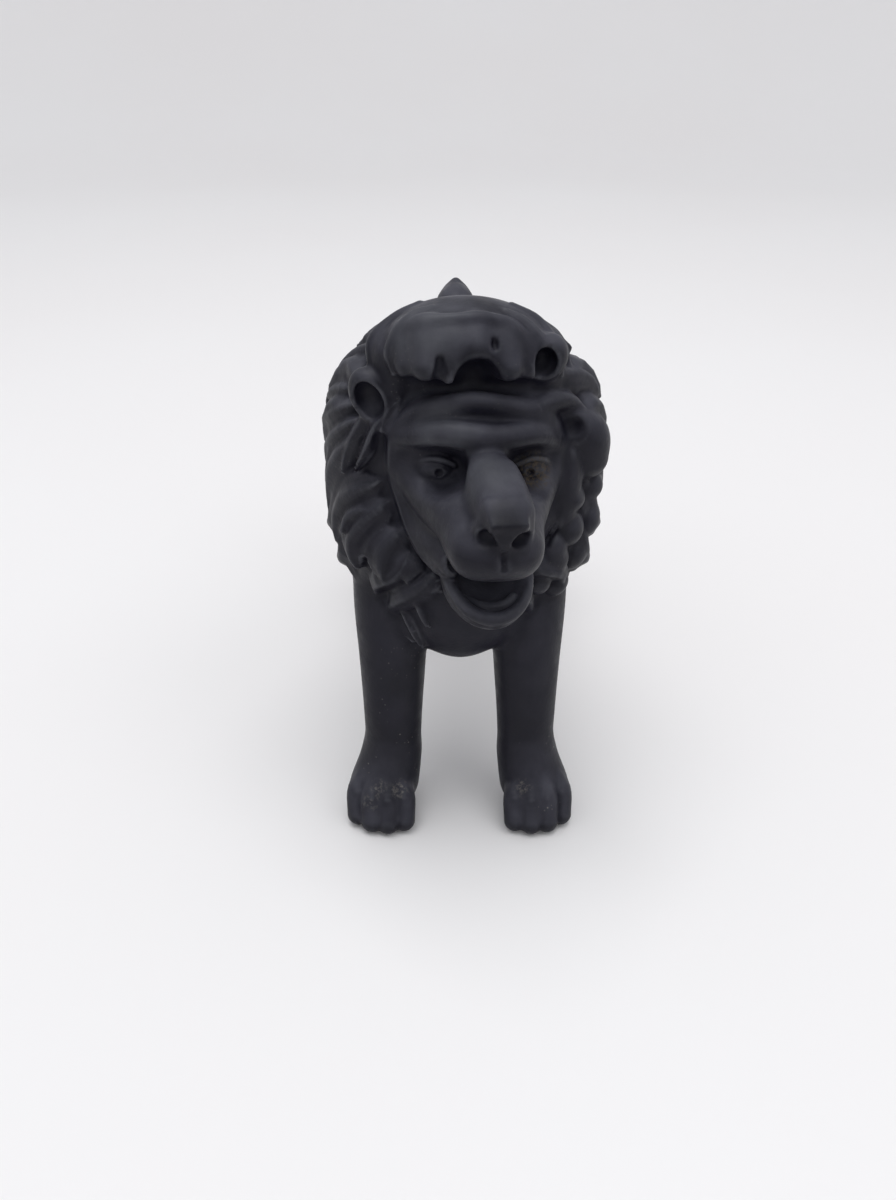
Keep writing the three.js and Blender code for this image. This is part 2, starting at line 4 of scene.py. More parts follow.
import bmesh
import bpy
import numpy as np
from mathutils import Euler, Matrix, Vector


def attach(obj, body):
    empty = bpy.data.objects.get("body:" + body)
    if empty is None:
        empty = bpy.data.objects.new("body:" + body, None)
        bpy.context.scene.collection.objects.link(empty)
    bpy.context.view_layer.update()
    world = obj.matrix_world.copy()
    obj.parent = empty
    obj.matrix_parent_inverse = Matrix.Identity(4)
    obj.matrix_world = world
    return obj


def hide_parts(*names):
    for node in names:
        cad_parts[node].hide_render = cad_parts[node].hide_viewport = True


bl_info = {
    "name": "Cast iron lion",
    "version": (1, 0, 0),
    "blender": (4, 5, 0),
    "location": "3D View > Sidebar > Lion",
    "description": "Models the painted lion casting over its solid",
    "category": "Object",
}

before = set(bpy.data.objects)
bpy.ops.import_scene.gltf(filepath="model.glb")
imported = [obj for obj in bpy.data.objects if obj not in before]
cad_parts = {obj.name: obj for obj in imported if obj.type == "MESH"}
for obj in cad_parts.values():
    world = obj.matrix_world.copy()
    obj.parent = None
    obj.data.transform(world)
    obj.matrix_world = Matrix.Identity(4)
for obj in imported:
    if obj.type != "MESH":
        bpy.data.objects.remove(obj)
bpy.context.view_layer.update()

# Millimetres, in the sculptor's frame: the origin is on the ground between the front toe tips,
# and the lion faces -Y.
FOOTPRINT_CENTRE = np.array([1.3, 73.98, 0.0])
HEAD_PIVOT = np.array([3.5, 22.0, 110.0])
MANE_CENTRE = np.array([1.0, 33.0, 97.0])
RIGHT = (-1,)
LEFT = (1,)
SIDES = (-1, 1)


def turned(pitch=0.0, roll=0.0, yaw=0.0):
    """A turn about X, then Y, then Z, in radians."""
    return np.array(Euler((pitch, roll, yaw), "XYZ").to_matrix())


HEAD_TURN = turned(0, math.radians(3), math.radians(8))


def melt(a, b, width):
    """Melts two surfaces into one over a width."""
    h = np.maximum(width - np.abs(a - b), 0)
    return np.minimum(a, b) - h * h / (4 * width)


def unit(v):
    """Vectors scaled to length one."""
    return v / np.maximum(np.linalg.norm(v, axis=-1, keepdims=True), 1e-9)


class Clay:
    """A list of lumps, each added to or carved from what is there already."""

    def __init__(self):
        self.lumps = []

    def add(self, lump, blend=4.0):
        """Adds a lump that melts into the clay over the blend width."""
        self.lumps.append((lump, blend, 1.0))

    def carve(self, lump, blend=1.0):
        """Takes a lump away."""
        self.lumps.append((lump, blend, -1.0))

    def distance(self, points):
        """How far each point is outside the clay."""
        columns = [np.ascontiguousarray(points[:, i]) for i in range(3)]
        d = np.full(len(points), 20.0)
        for (low, high, shape), blend, sign in self.lumps:
            near = np.ones(len(points), bool)
            for column, a, b in zip(columns, low - blend - 4, high + blend + 4):
                near &= (column > a) & (column < b)
            near = np.flatnonzero(near)
            if near.size:
                d[near] = sign * melt(sign * d[near], shape(points[near]), blend)
        return d

    def gradient(self, points, step=0.4):
        """The direction in which the distance grows."""
        corners = np.array([(1, -1, -1), (-1, -1, 1), (-1, 1, -1), (1, 1, 1)], float)
        return sum(c * self.distance(points + step * c)[:, None] for c in corners) / (4 * step)

    def fullness(self, points, step):
        """Above zero on ridges and below zero in hollows, judged over a step each way."""
        offsets = np.vstack([np.eye(3), -np.eye(3)]) * step
        return (sum(self.distance(points + o) for o in offsets) / 6 - self.distance(points)) / step

    def settle(self, points, rounds=5):
        """Moves points onto the clay's surface."""
        for _ in range(rounds):
            g = self.gradient(points)
            points = points - g * (self.distance(points) / np.maximum((g * g).sum(1), 0.2))[:, None]
        return points


def spline(points, steps):
    """A smooth curve through points, with rows of coordinates."""
    points = np.array(points, float)
    ends = np.vstack([2 * points[0] - points[1], points, 2 * points[-1] - points[-2]])
    curve = []
    for p0, p1, p2, p3 in zip(ends, ends[1:], ends[2:], ends[3:]):
        d0, d1, d2 = (np.sum((b - a) ** 2) ** 0.25 for a, b in ((p0, p1), (p1, p2), (p2, p3)))
        m1 = ((p1 - p0) / d0 - (p2 - p0) / (d0 + d1) + (p2 - p1) / d1) * d1
        m2 = ((p2 - p1) / d1 - (p3 - p1) / (d1 + d2) + (p3 - p2) / d2) * d1
        t = np.arange(steps)[:, None] / steps
        bend = (3 * (p2 - p1) - 2 * m1 - m2) * t**2 + (2 * (p1 - p2) + m1 + m2) * t**3
        curve.append(p1 + m1 * t + bend)
    return np.vstack(curve + [points[-1:]])


def egg(centre, radii, turn=None):
    """An egg-shaped lump."""
    centre, radii = np.array(centre, float), np.array(radii, float)
    turn = np.eye(3) if turn is None else turn

    def shape(points):
        q = (points - centre) @ turn / radii
        k0 = np.linalg.norm(q, axis=1)
        k1 = np.maximum(np.linalg.norm(q / radii, axis=1), 1e-6)
        return k0 * (k0 - 1) / k1

    return centre - radii.max(), centre + radii.max(), shape


def block(centre, halves, edge, turn=None):
    """A block with its edges rounded off."""
    centre, halves = np.array(centre, float), np.array(halves, float)
    turn = np.eye(3) if turn is None else turn
    reach = np.linalg.norm(halves)

    def shape(points):
        q = np.abs((points - centre) @ turn) - halves + edge
        return np.linalg.norm(np.maximum(q, 0), axis=1) + np.minimum(q.max(1), 0) - edge

    return centre - reach, centre + reach, shape


def limb(joints, steps=10):
    """A round tube through joints of given radii."""
    joints = np.array(joints, float)
    path = spline(joints[:, :3], steps)
    radius = spline(np.column_stack([np.arange(len(joints)), joints[:, 3]]), steps)[:, 1]

    def shape(points):
        best = np.full(len(points), 1e9)
        for a, b, ra, rb in zip(path, path[1:], radius, radius[1:]):
            ab = b - a
            ap = points - a
            t = np.clip(ap @ ab / (ab @ ab), 0, 1)
            ap -= t[:, None] * ab
            best = np.minimum(best, np.sqrt((ap * ap).sum(1)) - ra - (rb - ra) * t)
        return best

    low = (path - radius[:, None]).min(0)
    high = (path + radius[:, None]).max(0)
    return low, high, shape


def lock(path, normals, width, thickness, strands=0, groove=0.0):
    """A lock of hair: a flattened tube along a path that lies on the clay, combed into strands."""
    n = len(path) - 1
    t = np.arange(n + 1) / n
    full = np.maximum(0.2, np.sin(np.pi * t**0.8).clip(0) ** 0.55)
    ahead = path[np.minimum(np.arange(n + 1) + 1, n)]
    behind = path[np.maximum(np.arange(n + 1) - 1, 0)]
    tangent = unit(ahead - behind)
    across = unit(np.cross(tangent, normals))
    sizes = np.column_stack([width * full, thickness * (0.55 + 0.45 * full)])
    frames = np.hstack([path, across, np.cross(across, tangent), sizes])

    def shape(points):
        best = np.full(len(points), 1e9)
        at = np.zeros(len(points), int)
        share = np.zeros(len(points))
        for i in range(n):
            ab = path[i + 1] - path[i]
            ap = points - path[i]
            t = np.clip(ap @ ab / (ab @ ab), 0, 1)
            ap -= t[:, None] * ab
            d = (ap * ap).sum(1)
            better = d < best
            best[better] = d[better]
            at[better] = i
            share[better] = t[better]
        here = frames[at] + (frames[at + 1] - frames[at]) * share[:, None]
        e = points - here[:, :3]
        side = (e * here[:, 3:6]).sum(1)
        rise = (e * here[:, 6:9]).sum(1)
        w, h = here[:, 9], here[:, 10]
        along = np.maximum(0, best - side**2 - rise**2)
        k0 = np.sqrt((side / w) ** 2 + (rise / h) ** 2 + along / w**2)
        k1 = np.sqrt((side / w**2) ** 2 + (rise / h**2) ** 2 + along / w**4)
        combed = groove * (0.5 - 0.5 * np.cos(strands * np.pi * side / w)) * (w / width)
        return k0 * (k0 - 1) / np.maximum(k1, 1e-6) + combed

    reach = width + thickness
    return path.min(0) - reach, path.max(0) + reach, shape


def head_point(across, forward, up):
    """A point of the head's frame: across to the lion's left, forward along the muzzle, and up."""
    return HEAD_TURN @ np.array([across, -forward, up]) + HEAD_PIVOT


def head_egg(across, forward, up, w, l, h, pitch=0.0, roll=0.0, yaw=0.0):
    return egg(head_point(across, forward, up), (w, l, h), HEAD_TURN @ turned(pitch, roll, yaw))


def head_block(across, forward, up, w, l, h, edge, pitch=0.0, yaw=0.0):
    return block(head_point(across, forward, up), (w, l, h), edge, HEAD_TURN @ turned(pitch, 0, yaw))


def head_limb(joints):
    return limb([[*head_point(a, f, u), r] for a, f, u, r in joints], 6)


def torso(clay):
    clay.add(egg((0, 60, 83), (20.5, 42, 25)), 8)  # ribs
    clay.add(egg((0, 104, 84), (17, 34, 19.5)), 10)  # loin and belly
    clay.add(egg((0, 131, 86), (18.5, 22, 19.5)), 10)  # rump
    clay.add(egg((0, 27, 76), (19, 18, 24)), 8)  # breast
    clay.add(egg((0, 62, 98), (14, 34, 13)), 10)  # withers


def paw(clay, side, back, size=1.0):
    clay.add(limb([
        (side * 19.4, back + 18, 17, 7 * size),
        (side * 20.6, back + 14, 9.6, 7.6 * size),
        (side * 21, back + 10, 6, 6.2 * size),
    ], 5), 4)
    clay.add(limb([
        (side * 21, back + 18.4, 15, 6 * size),
        (side * 25, back + 15, 8.6, 6 * size),
        (side * 26, back + 13, 5.4, 5.6 * size),
    ], 5), 3)
    for x, tip, r in ((15.6, 1.2, 3.1), (20, 0, 3.2), (24.4, 0.8, 3.2), (28.5, 4, 3.1)):
        root = (side * (0.6 * x + 8), back + tip + 13, 12, r * 0.8)
        knuckle = (side * x, back + tip + 7.4, 8.8, r)
        end = (side * x, back + tip + r, 3.2, r)
        clay.add(limb([root, knuckle, end], 5), 0.9)
        clay.add(limb([
            (side * (0.4 * x + 12), back + tip + 12.4, 17.6, 0.8),
            (side * (0.7 * x + 6), back + tip + 10, 14.2, 1.2),
            (side * x, back + tip + 7.4, 11.4, 1.5),
            (side * x, back + tip + 5, 9.8, 1),
        ], 4), 0.8)  # tendon and knuckle


def foreleg(clay, side):
    clay.add(egg((side * 17.5, 38, 80), (11, 17, 26), turned(0.22)), 6)  # shoulder
    clay.add(egg((side * 18, 41, 66), (7, 8, 9)), 7)  # elbow
    clay.add(limb([
        (side * 18, 31, 76, 11),
        (side * 18.6, 27, 62, 10.3),
        (side * 18.5, 23, 46, 9.2),
        (side * 18.6, 20, 31, 8.2),
        (side * 18.8, 18.5, 18, 7.7),
        (side * 19.6, 17, 9, 7.6),
    ]), 5)
    paw(clay, side, 0)


def hindleg(clay, side):
    clay.add(egg((side * 13.2, 131, 77), (11, 18.5, 28), turned(-0.22)), 8)  # thigh
    clay.add(limb([
        (side * 15.6, 119, 66, 11),
        (side * 16.8, 124, 54, 9.6),
        (side * 17.4, 135, 43, 7.6),
        (side * 17.6, 144.5, 33, 6.6),
        (side * 17.6, 145, 21, 6),
        (side * 18.2, 143, 9, 6.8),
    ]), 5)
    clay.add(limb([
        (side * 16, 141, 62, 5),
        (side * 17, 144.5, 50, 4.4),
        (side * 17.6, 149.5, 38, 3.8),
    ]), 5)  # heel tendon
    paw(clay, side, 120, 0.95)


def tail(clay):
    clay.add(limb([
        (0, 134, 91, 10),
        (-0.4, 142, 102.5, 8.6),
        (-0.6, 148.5, 110.4, 6.6),
        (-0.4, 156.5, 111.6, 4.4),
        (0.8, 164.5, 105, 3.8),
        (3, 167.5, 89, 3.5),
        (7, 164, 69, 3.3),
        (10.4, 160, 55, 3.6),
    ]), 4)
    clay.add(limb([
        (10.4, 160, 57, 3.4),
        (11.6, 159.5, 48, 5.6),
        (12, 161, 39, 5.2),
        (11.4, 165, 30, 1.8),
    ]), 2)
    clay.add(egg((-0.6, 156.5, 110.2), (6.4, 4.6, 4.4)), 2)
    clay.add(limb([(-0.6, 156.4, 113.4, 2.8), (-0.5, 156.2, 116.6, 1.2)]), 3)


def mane_base(clay):
    clay.add(block(MANE_CENTRE, (31.6, 21, 34), 20), 5)  # the barrel of the mane
    clay.add(egg((0, 28, 115), (24, 23, 24)), 6)  # the crown
    clay.add(egg((0, 42, 108), (22, 37, 27.5)), 6)  # the crest of the neck
    clay.add(egg((0, 58, 94), (23.5, 31, 26)), 9)  # back to the withers
    clay.add(egg((0, 19, 68), (15, 11, 19)), 6)  # the bib


# The mane's locks, in rows from the face back to the shoulders. Each lock is laid on the mane from the
# angle where it grows, in degrees from the top, and sweeps outwards, back and down.
# Columns: sides, locks, first and last angle, radius of the root (first lock), its loss up to the last
# lock, radius of the tip, y of the root and tip, sweep, width, thickness, lift of the tip.
MANE_ROWS = (
    (RIGHT, 2, 128, 150, 18, 2, 33, 9, 22, 14, 4.2, 4.2, 2),
    (LEFT, 2, 122, 146, 18, 2, 33, 10, 22, 14, 4, 4.2, 2),
    (SIDES, 7, 20, 124, 33, 0, 38, 20, 36, 24, 5.4, 4.4, 6.5),
    (SIDES, 7, 12, 116, 36, 0, 36, 34, 54, 22, 5.4, 4.2, 5),
    (SIDES, 5, 12, 102, 34, 0, 32, 51, 73, 22, 6.4, 4, 3),
    (SIDES, 4, 14, 86, 32, 0, 26, 67, 89, 20, 6, 3.4, 2),
)

# The locks that frame the face, each with its route over the mane, width, thickness, lift and strands.
TRESSES = (
    # right side, from behind the ear down to the bib
    (((-19, 26, 131), (-25, 31, 129), (-30, 34, 124.6), (-30.6, 33, 121)), 4.2, 4, 2.2, 2),
    (((-25, 23, 122), (-30.5, 30, 119.4), (-33.4, 33, 116.6), (-32.6, 32, 113.6)), 3.8, 3.8, 2.6, 2),
    (((-24.5, 19, 120), (-30.4, 26, 114.6), (-35.4, 32, 110.6), (-36, 33, 106.4)), 4, 4, 3, 2),
    (((-24, 17, 117), (-30.6, 26, 108.5), (-35.4, 31, 102.6), (-36, 32, 97)), 4, 4, 2.8, 2),
    (((-23, 15, 114), (-28.4, 21, 107), (-33, 27, 98.6), (-34.4, 30, 91), (-33, 29, 84.6)), 4.6, 4.2, 2.6, 2),
    (((-20, 14, 102), (-26.4, 18.6, 97), (-31, 23, 90.5), (-32, 25, 85), (-30.6, 25, 81)), 6.2, 3.6, 2.6, 2),
    (((-18, 12.6, 97), (-22.6, 16, 91), (-25.4, 19, 85), (-25, 20, 80.6), (-23.6, 20, 78)), 6, 3.6, 2.6, 2),
    (((-15, 11, 90), (-18, 13.6, 84.6), (-18.6, 15, 80), (-17.6, 15.6, 76.6)), 5.5, 3.6, 2.4, 2),
    (((-11.4, 10.4, 84), (-12.6, 11.6, 79.6), (-12, 12.4, 76)), 4.4, 3.4, 2, 0),
    (((-6.6, 9.6, 79), (-6.6, 9.4, 76), (-4.6, 9, 74.4)), 3.4, 2.8, 1.6, 0),
    (((-20.6, 14.6, 94.4), (-24, 16.4, 93.6), (-27, 18.6, 90.4), (-28, 20, 85.6)), 1.9, 3, 5, 0),
    (((-16, 11.5, 125), (-19.4, 13.9, 121.5), (-23, 15.6, 116), (-26, 18.9, 108.6), (-27.6, 21, 102)), 2.2, 3, 2.4, 2),
    (((-15.6, 11, 122), (-18.6, 12, 118), (-21.4, 13.6, 111.5), (-24.6, 17.4, 104)), 1.9, 3, 2.2, 2),
    (((-14.5, 10.4, 124), (-17, 11.2, 119.7), (-18.6, 11.4, 113)), 1.6, 2.2, 1.2, 2),
    (((-33, 27, 80), (-32.4, 26, 74), (-29, 24, 69), (-24, 22, 65.6), (-18.5, 18, 62.5)), 3.2, 3, 3, 2),
    (((-28.8, 25.6, 75), (-25, 24, 70), (-20.3, 22, 66.6), (-15.6, 18.6, 62)), 2.4, 2.6, 1.8, 2),
    (((-22, 22, 71), (-18.6, 20, 66), (-14.4, 17, 60), (-11.4, 15.4, 55.6)), 2.2, 2.6, 1.4, 2),
    (((-16.3, 16.4, 69.4), (-12.6, 13.2, 63), (-9.6, 13, 54.6)), 2, 2.4, 0.8, 2),
    (((-11.9, 11.7, 73), (-9.6, 10.4, 68), (-7.6, 9.8, 63.4)), 1.5, 2.2, 1.4, 1),
    # left side
    (((18.6, 15, 127), (25, 22.4, 125.6), (30, 28, 122.6), (33.4, 31, 118)), 3.6, 3.8, 2.4, 2),
    (((16, 14, 121), (21, 16, 121.6), (26, 19, 120.6), (29, 21.6, 117)), 3, 3, 0.8, 1),
    # crown, behind the forelock
    (((-12, 36, 136), (-18, 36, 134), (-22.6, 34, 130)), 4.4, 3.6, 3.6, 1),
    (((-4, 42, 137), (-9, 42, 137), (-14.6, 39, 135)), 4, 3.2, 2.6, 1),
    (((5, 42, 137), (10, 40, 136), (16, 37, 132)), 4, 3.2, 2.4, 1),
    (((14, 36, 134), (19, 33, 131), (22.6, 30, 127)), 3.4, 3.2, 2.4, 1),
)

# The hair under the left cheek and its curls: centre, radii and roll.
CURLS = (
    ((25.6, 20.6, 98), (5, 6, 17), 0.05),
    ((22, 18, 80), (5, 6, 8), 0.4),
    ((26.6, 20.4, 95.6), (5.2, 5.2, 4.2), 0.5),
    ((27, 20.8, 86.6), (4.8, 5.2, 5.4), -0.1),
    ((23.4, 17.8, 79.2), (4.6, 5, 4.8), 0.3),
    ((19.8, 16, 73.4), (3.8, 4.4, 3.8), 0.6),
    ((32.6, 27.6, 95.4), (4.4, 4.8, 4.2), 0.3),
    ((32.4, 27.6, 86.2), (4.4, 4.8, 5.4), -0.1),
    ((29, 25, 77.4), (4.6, 4.8, 5.2), 0.35),
    ((24.6, 21.4, 70.4), (4, 4.6, 4.4), 0.6),
)


def mane_locks(clay, base):
    """Lays the rows of locks, and the locks that frame the face, on the base of the mane."""
    t = np.arange(9) / 8
    places = []
    for sides, count, first, last, root, loss, tip, y0, y1, sweep, width, thickness, lift in MANE_ROWS:
        for side in sides:
            for i in range(count):
                along = i / max(count - 1, 1)
                start = first + (last - first) * along
                angle = side * np.radians(start + sweep * t + 4 * np.sin(2 * np.pi * t + i))
                r = root - loss * along + (tip - root + loss * along) * t
                path = np.column_stack([r * np.sin(angle), 0 * t, 1.15 * r * np.cos(angle)]) + MANE_CENTRE
                path[:, 1] = y0 + (y1 - y0) * t
                places.append((path, width, thickness, lift * (0.35 + 0.65 * along) * (t - 0.5), 2))
    for points, width, thickness, lift, strands in TRESSES:
        path = spline(points, 4)
        rise = lift * np.linspace(-0.2, 0.6, len(path))
        places.append((path, width, thickness, rise, strands))
    ends = np.cumsum([len(place[0]) for place in places])
    paths = base.settle(np.vstack([place[0] for place in places]), 6)
    normals = unit(base.gradient(paths))
    for end, (path, width, thickness, lift, strands) in zip(ends, places):
        own = slice(end - len(path), end)
        lifted = paths[own] + normals[own] * lift[:, None]
        clay.add(lock(lifted, normals[own], width, thickness, strands, 0.13 * width), 0.6 if width < 5.5 else 1.4)


def jowl_hair(clay):
    """The smooth mass and the curls of hair beside the left cheek."""
    clay.add(limb([(27, 20.6, 114.6, 5), (30.6, 23.4, 110, 6.6), (31.6, 24.2, 104.6, 5.8)], 6), 1.2)
    clay.carve(egg((27, 14.8, 115), (3.4, 3.6, 3.2)), 1.8)  # curl
    for centre, radii, roll in CURLS:
        clay.add(egg(centre, radii, turned(0, roll)), 0.6)


def forelock(clay):
    """A smooth dome over the forehead, its front edge notched into a fringe."""
    clay.add(head_egg(-4, 2, 23.6, 21.5, 15, 11), 3)
    clay.add(head_egg(-4, 6.4, 26.6, 16.4, 11.4, 7.4, 0.4), 4)
    for side in SIDES:
        clay.add(head_egg(-3.5 + side * 18, 1, 18.5, 5.2, 9, 10, 0, side * 0.25), 2)
    for joints in (
        ((-19, 7.4, 28, 3.4), (-19.2, 12.4, 22.4, 2.8)),
        ((-14.8, 10.6, 29.6, 4), (-15.4, 16.2, 23, 3.2)),
        ((-9.2, 12, 28.6, 3.4), (-9.8, 17.2, 20.4, 2)),
        ((-3.6, 11.6, 30, 4), (-4, 15, 27.6, 3.2)),
        ((3, 11.8, 28.4, 4), (3.8, 16.4, 23.2, 3)),
        ((8.4, 9.4, 26.4, 4), (9, 13.2, 22.4, 2.8)),
    ):
        clay.add(head_limb(joints), 2.4)
    clay.carve(head_block(-5, 19, 16.2, 15.2, 8.6, 3, 2.8, 0.1), 2.2)  # hollow under the fringe
    clay.carve(head_egg(-3.8, 17.4, 19.4, 5.2, 7.6, 6, 0.1, 0.2), 1.8)
    clay.carve(head_limb([(-12.4, 17, 25, 0.6), (-12.4, 18.6, 22.6, 1.1), (-12.4, 19.4, 19.6, 1.6)]), 1.6)
    clay.carve(head_egg(0.1, 16.8, 28.8, 0.8, 1.5, 1.5), 0.8)
    clay.add(head_limb([
        (-19.6, 8, 29.4, 0.9),
        (-16.6, 11, 32, 1.1),
        (-8, 12.6, 33.4, 1.1),
        (-1, 12.6, 33.6, 1.1),
        (3.6, 12.2, 32, 1.1),
        (6.6, 12.8, 29, 1),
        (8.6, 13, 25.6, 0.9),
    ]), 2)  # front edge
    for route in (
        ((3.5, 8, 34), (7.5, 9, 31), (10.5, 10.5, 27), (12, 11, 22)),
        ((6, 3, 34), (11.5, 4.4, 30.5), (15.4, 6, 25), (17.4, 7.4, 19)),
        ((8, -3, 33), (15, -1.4, 29.5), (19.6, 0, 24), (21.6, 1.4, 18)),
        ((-13, 6, 33), (-17.6, 7.6, 30), (-20.6, 8.6, 25), (-21.6, 9, 20)),
        ((-15, 0, 33), (-20.4, 1, 29.6), (-24, 2.4, 24), (-25, 4, 18)),
    ):
        strand = clay.settle(np.array([head_point(*joint) for joint in route]), 4)
        clay.add(limb([(*joint, size) for joint, size in zip(strand, (0.5, 1, 1.1, 0.6))], 5), 1)


def brow(clay):
    """The forehead's fold, the band of the brow and the rim of the face, which frames it."""
    clay.add(head_limb([
        (-20.6, 8.2, 2.6, 1.8),
        (-18.6, 11, 4.8, 2.6),
        (-14.8, 14.4, 6.6, 3.2),
        (-9.8, 17, 7.6, 3.5),
        (-4, 18.4, 7.4, 3.4),
        (1.6, 18.2, 7, 3.3),
        (6, 17, 7, 3.3),
        (12.2, 14, 6.2, 3.1),
        (17, 10.4, 3.6, 2.2),
    ]), 1.6)
    clay.add(head_limb([
        (-10.4, 18.6, -26.4, 1.2),
        (-14.2, 13, -22.6, 1.5),
        (-17.8, 9.4, -15.6, 1.6),
        (-20.2, 7.6, -7, 1.6),
        (-21.4, 8, 0.6, 1.7),
        (-19.6, 10.2, 7, 1.9),
        (-15.8, 12.6, 11.4, 2.1),
        (-9.6, 14.4, 13.8, 2.3),
        (-3, 15.2, 14.8, 2.3),
        (4.4, 14.4, 13.6, 2.3),
        (11.6, 12, 11, 2.1),
        (16.8, 9.2, 6.8, 1.9),
        (19.6, 7.2, 0, 1.6),
        (20.2, 6.4, -8, 1.6),
        (18.6, 7.4, -16.2, 1.6),
        (15.6, 10.6, -22.6, 1.4),
    ]), 2)
    for joints in (
        ((-24.6, 8.6, 3, 1.6), (-24.6, 8, -6, 1.8), (-22, 8.6, -14.6, 1.8), (-18, 11.6, -22, 1.6), (-14, 16, -28, 1.4)),
        ((23, 7, 1, 1.1), (23.2, 6, -8, 1.1), (21.6, 7, -17, 1.1), (18, 10.4, -24, 1)),
    ):
        clay.carve(head_limb(joints), 1.2)  # crease between face and mane


def eye(clay, side):
    clay.carve(head_egg(side * 11.8, 20.2, -0.8, 7, 6.6, 4.9), 2.8)  # socket
    clay.carve(head_egg(side * 8.2, 19.4, -0.4, 2.2, 4.4, 3.2), 2)  # inner corner
    clay.add(head_egg(side * 11.2, 13.4, -2.8, 4.2, 3, 2.9), 0.6)  # eyeball
    clay.add(head_limb([
        (side * 16.4, 12, -1.6, 0.5),
        (side * 14.6, 14, 0, 0.65),
        (side * 11.2, 15.6, 0.7, 0.7),
        (side * 7.4, 15.6, -0.8, 0.6),
    ]), 0.9)  # upper lid
    clay.add(head_limb([
        (side * 15.8, 12.8, -4.4, 0.7),
        (side * 11.4, 14.8, -6.3, 1),
        (side * 7.2, 16, -4.6, 0.9),
    ]), 1.2)  # lower lid
    clay.carve(head_egg(side * 11, 17, -2.5, 1.2, 1.6, 1.2), 0.3)  # pupil


def muzzle(clay):
    clay.add(head_limb([
        (-1, 16, 0.6, 5.4),
        (-0.4, 24, -1.2, 6.2),
        (1, 32, -4.2, 6.6),
        (1.2, 38, -6.6, 6),
    ]), 2.4)  # bridge
    clay.add(head_block(0.8, 31.2, -3.6, 6, 10, 5.8, 3.6, 0.26, 0.1), 2.4)
    clay.add(head_egg(0.2, 29.5, -13.4, 11.6, 14, 8), 2)  # upper lips
    clay.add(head_block(0.2, 31.4, -13.6, 10.8, 9.8, 6.8, 6.4, 0.08), 2)
    clay.add(head_block(0.5, 40, -4, 4.5, 4, 2.9, 0.8, 0.5, 0.08), 1.5)  # nose
    for side in SIDES:
        clay.add(head_egg(0.4 + side * 4.6, 38.6, -7.2, 1.6, 3, 2, 0.3, side * 0.3), 1.6)  # wing of the nose
        clay.carve(head_egg(0.2 + side * 4, 42.6, -7.8, 2.9, 3.4, 2.3, 0.1, side * 0.45), 0.8)  # nostril
    for joints in (
        ((-3, 43, -4.6, 0.6), (-0.9, 43, -7.4, 0.9), (0.1, 42.4, -9.6, 0.9)),
        ((3.4, 43, -4.8, 0.6), (1, 43, -7.4, 0.9), (0.1, 42.4, -9.6, 0.9)),
    ):
        clay.add(head_limb(joints), 0.6)
    clay.carve(head_limb([
        (0.2, 42.8, -11, 0.3),
        (0.6, 42.8, -14.6, 0.3),
    ]), 1.4)  # cleft of the lip


def jaw(clay):
    """The open mouth and the lower jaw, a bowl with a thin lip."""
    clay.add(head_egg(1.1, 19.4, -29.6, 10.8, 16, 5.4, 0.3), 2)
    clay.carve(head_block(1.1, 35, -24.4, 10.4, 13, 2.8, 2.6, 0.27), 1)  # gap between the lips
    clay.carve(head_egg(1.4, 27, -27, 8.8, 9.6, 4, 0.28), 1.4)  # bowl
    clay.carve(head_egg(2, 24, -26, 4.6, 9.6, 3.6, 0.24), 1.4)  # throat
    clay.add(head_limb([
        (-7.6, 12, -23, 1),
        (-9, 20, -26.6, 1.1),
        (-7.3, 27.4, -29.2, 1.5),
        (-4.2, 33, -31, 1.6),
        (0.6, 35, -31.9, 1.7),
        (5.2, 33.8, -31.5, 1.6),
        (9, 29.6, -30.4, 1.4),
        (11.2, 24, -28.6, 1.25),
        (11.6, 18.6, -25.4, 1.4),
        (11, 14, -21, 1.8),
    ]), 1.2)
    clay.add(head_limb([
        (-4.8, 27.4, -30.4, 0.9),
        (-2.2, 30.2, -30.7, 1.2),
        (1, 31, -30.9, 1.3),
        (4.4, 30, -30.7, 1.2),
        (6.8, 27.2, -30.2, 0.9),
    ]), 0.7)  # lower teeth


def face(clay):
    clay.add(head_egg(-0.5, 2, 0, 20, 17, 17.6), 3)  # skull
    clay.add(head_block(-0.8, 5.4, 8, 17, 9, 6.6, 6), 3)  # forehead
    brow(clay)
    for side in SIDES:
        clay.add(head_limb([
            (side * 11, 4, -7, 9.5),
            (side * 8.4, 17, -9, 8),
            (side * 4.8, 30, -11, 6.6),
        ]), 3)  # cheek
        clay.add(head_limb([
            (side * 9.5, 3, -15, 9.5),
            (side * 8.4, 13, -20, 7.6),
            (side * 6.6, 22, -22.5, 5),
        ]), 3)  # corner of the jaw
        clay.add(head_limb([
            (side * 18.2, 7.6, 1, 2),
            (side * 17.2, 9.6, -5.4, 2.6),
            (side * 13.6, 14.6, -9.4, 3),
            (side * 9.4, 20.4, -9.4, 3),
        ]), 2.4)  # cheekbone
    muzzle(clay)
    jaw(clay)
    for side in SIDES:
        eye(clay, side)


def ear(clay, centre, radii, roll, yaw, aside):
    """A thick rounded ear; its bowl is moved aside in the ear's own frame."""
    turn = turned(0.1, roll, yaw)
    radii = np.array(radii, float)
    clay.add(egg(centre, radii, turn), 1.6)
    bowl = turn @ np.array([aside, -0.6 * radii[1], -0.6]) + centre
    clay.carve(egg(bowl, radii - (1.8, 0.2, 2), turn), 1)


